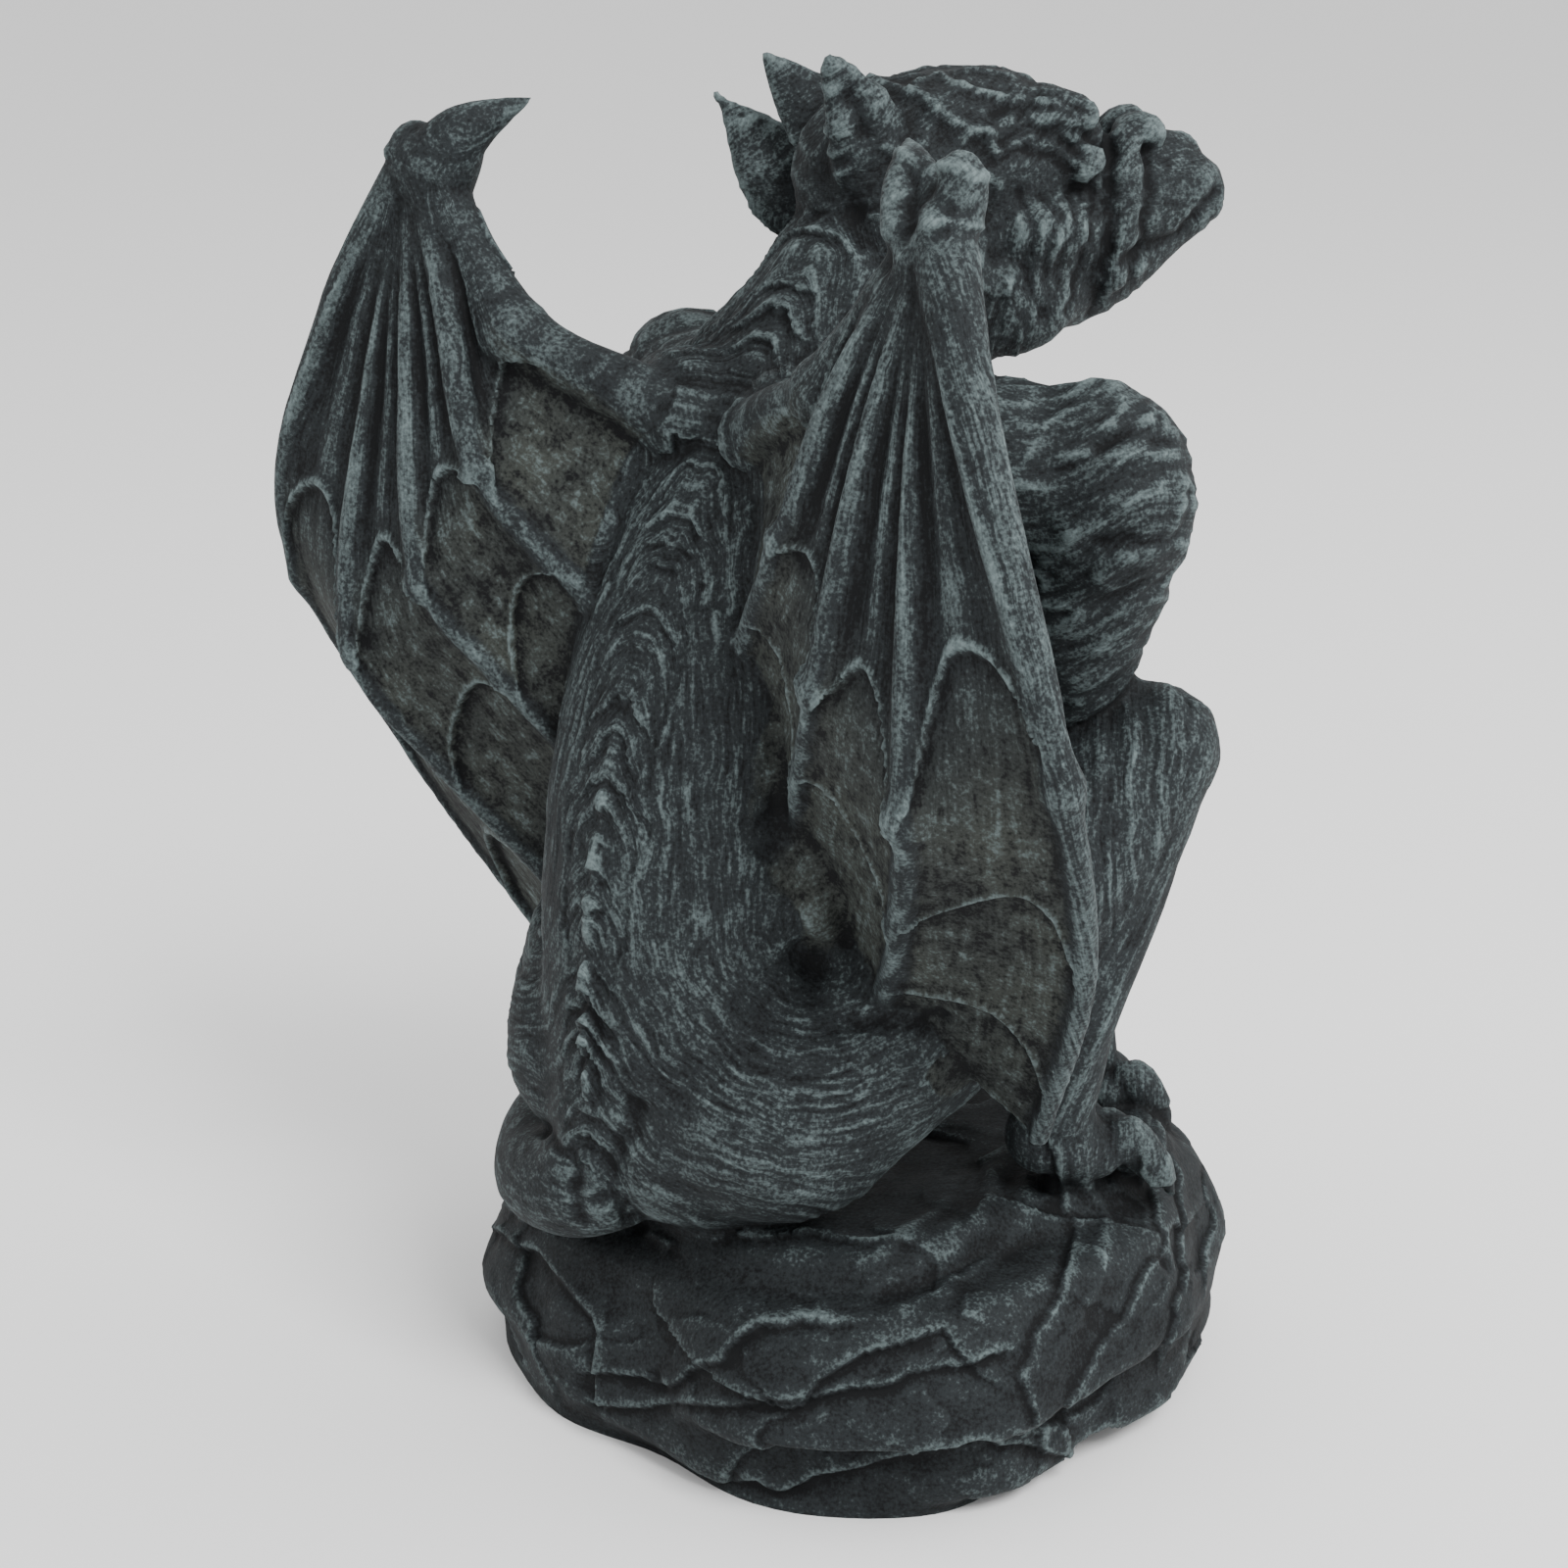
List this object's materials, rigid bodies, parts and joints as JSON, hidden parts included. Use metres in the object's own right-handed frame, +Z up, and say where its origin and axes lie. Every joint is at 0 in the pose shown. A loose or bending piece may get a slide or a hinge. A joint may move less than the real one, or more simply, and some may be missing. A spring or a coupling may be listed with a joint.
{
  "type": "gargoyle statue",
  "caption": "Winged gargoyle statue squatting on a rough rock, cast in one piece with it, head turned to its right and clawed bat wings raised.",
  "frame": {"origin": "middle of the rock's flat underside", "axes": "+Z up out of the underside, along the longest extent; the figure faces -Y and its right side is -X"},
  "size_m": [0.1964, 0.139, 0.2444],
  "materials": {
    "stone": "matte"
  },
  "bodies": {
    "root": {"gargoyle_on_rock": "stone"}
  },
  "joints": []
}
